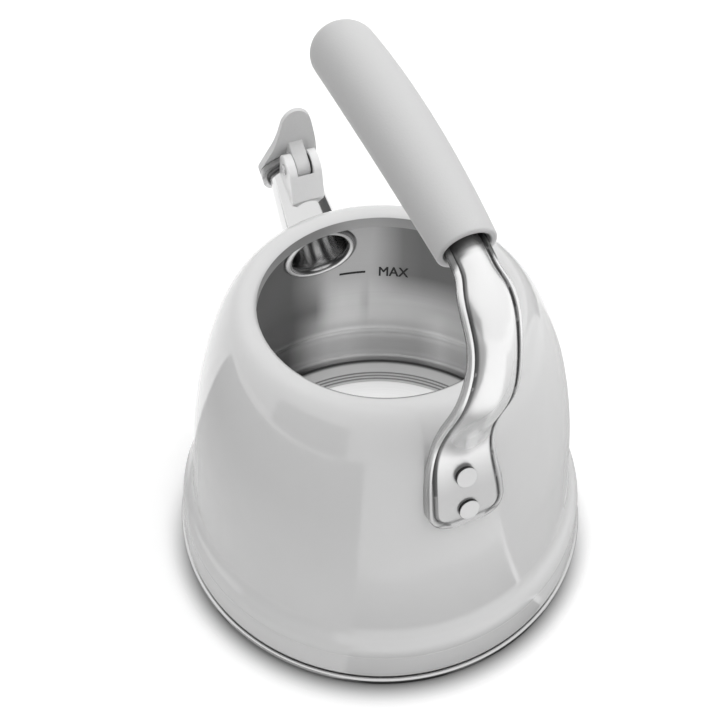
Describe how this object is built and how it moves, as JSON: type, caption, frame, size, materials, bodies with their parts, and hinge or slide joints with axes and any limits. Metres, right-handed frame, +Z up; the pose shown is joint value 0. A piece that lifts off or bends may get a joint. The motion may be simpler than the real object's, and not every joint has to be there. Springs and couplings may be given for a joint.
{
  "type": "stovetop whistling kettle",
  "caption": "White enamelled stovetop kettle with an open lid mouth, a steel base ring, an upward spout with a hinged whistling cap, and a riveted steel strap handle with a free-ended grip.",
  "frame": {"origin": "centre of the underside of the base, on the hob", "axes": "+Z up, +X towards the spout, the handle's pad on the -X side, XZ the plane of symmetry"},
  "size_m": [0.2164, 0.191, 0.2319],
  "materials": {
    "enamel": "gloss",
    "steel_base": "satin",
    "steel_inside": "brushed",
    "spreader": "satin",
    "spout_steel": "polished",
    "bracket_metal": "satin",
    "fastener_steel": "satin",
    "washer_plastic": "matte",
    "cap_metal": "matte",
    "seal_rubber": "matte",
    "whistle_steel": "satin",
    "strap_steel": "polished",
    "core_plastic": "matte",
    "grip_soft": "soft matte"
  },
  "bodies": {
    "kettle": {"base_cap": "steel_base", "heat_spreader": "spreader", "floor_disc": "steel_inside", "base_skirt": "enamel", "body_shell": "enamel", "spout_tube": "spout_steel", "spout_collar": "spout_steel", "spout_bracket": "bracket_metal", "bracket_screw": "fastener_steel", "hinge_pin": "fastener_steel", "hinge_washers": "washer_plastic", "handle_strap": "strap_steel", "handle_rivets": "strap_steel", "rivet_washers": "fastener_steel", "grip_core": "core_plastic", "grip_sleeve": "grip_soft", "tang_pins": "fastener_steel"},
    "cap": {"cap_cover": "cap_metal", "cap_holder": "bracket_metal", "cap_seal": "seal_rubber", "whistle_cup": "whistle_steel", "whistle_rear_disc": "whistle_steel", "whistle_front_disc": "whistle_steel"}
  },
  "joints": [
    {"name": "cap_hinge", "type": "hinge", "parent": "kettle", "child": "cap", "pos_m": [0.09354, 0, 0.13401], "axis": [0, -1, 0], "range_deg": [0, 60]}
  ]
}
